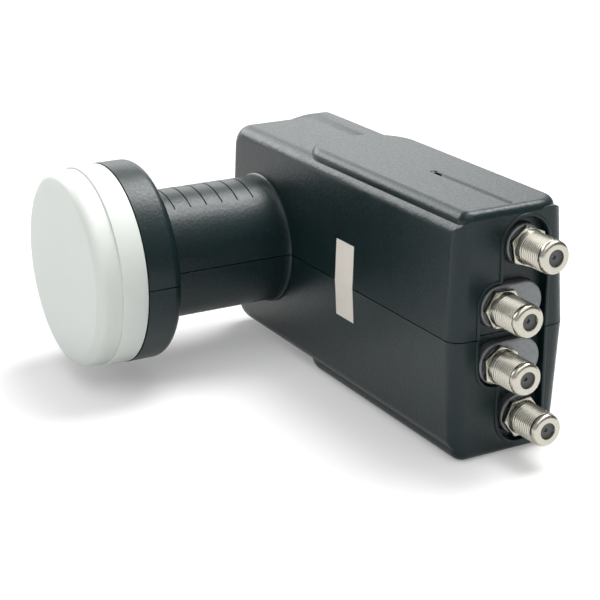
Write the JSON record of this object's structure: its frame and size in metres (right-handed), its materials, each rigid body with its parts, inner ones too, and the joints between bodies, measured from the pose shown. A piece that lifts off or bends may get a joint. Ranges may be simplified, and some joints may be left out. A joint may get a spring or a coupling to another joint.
{
  "type": "satellite LNB",
  "caption": "Satellite dish low-noise block with a white feed cap, a round clamp neck, a black two-part housing and threaded coaxial outputs.",
  "frame": {"origin": "on the feed axis, where the clamp neck meets the front face of the body", "axes": "+X along the feed axis from the cap into the body, +Y along the body away from the connectors, +Z across the two halves, up as it lies in the picture"},
  "size_m": [0.1069, 0.1542, 0.0706],
  "materials": {
    "cap_plastic": "satin",
    "seal_rubber": "matte",
    "housing_plastic": "fine-grained satin",
    "cast_zinc": "as cast",
    "screw_steel": "plated",
    "board": "solder mask",
    "copper": "tinned copper",
    "ceramic": "fired",
    "brass": "machined",
    "chip_plastic": "moulded",
    "label_paper": "matte",
    "nickel": "satin nickel plate",
    "insulator_plastic": "moulded"
  },
  "bodies": {
    "root": {"feed_cap": "cap_plastic", "cap_seal": "seal_rubber", "housing_upper": "housing_plastic", "housing_lower": "housing_plastic", "chassis": "cast_zinc", "chassis_lid": "cast_zinc", "lid_screws": "screw_steel", "circuit_board": "board", "probe_along": "copper", "probe_across": "copper", "resonators": "ceramic", "tuning_screws": "brass", "switch_chips": "chip_plastic", "regulators": "chip_plastic", "transistors": "chip_plastic", "seal_label": "label_paper", "port_shell_1": "nickel", "port_insulator_1": "insulator_plastic", "port_contact_1": "brass", "port_seal_1": "seal_rubber", "port_shell_2": "nickel", "port_insulator_2": "insulator_plastic", "port_contact_2": "brass", "port_seal_2": "seal_rubber", "port_shell_3": "nickel", "port_insulator_3": "insulator_plastic", "port_contact_3": "brass", "port_seal_3": "seal_rubber", "port_shell_4": "nickel", "port_insulator_4": "insulator_plastic", "port_contact_4": "brass", "port_seal_4": "seal_rubber"}
  },
  "joints": []
}
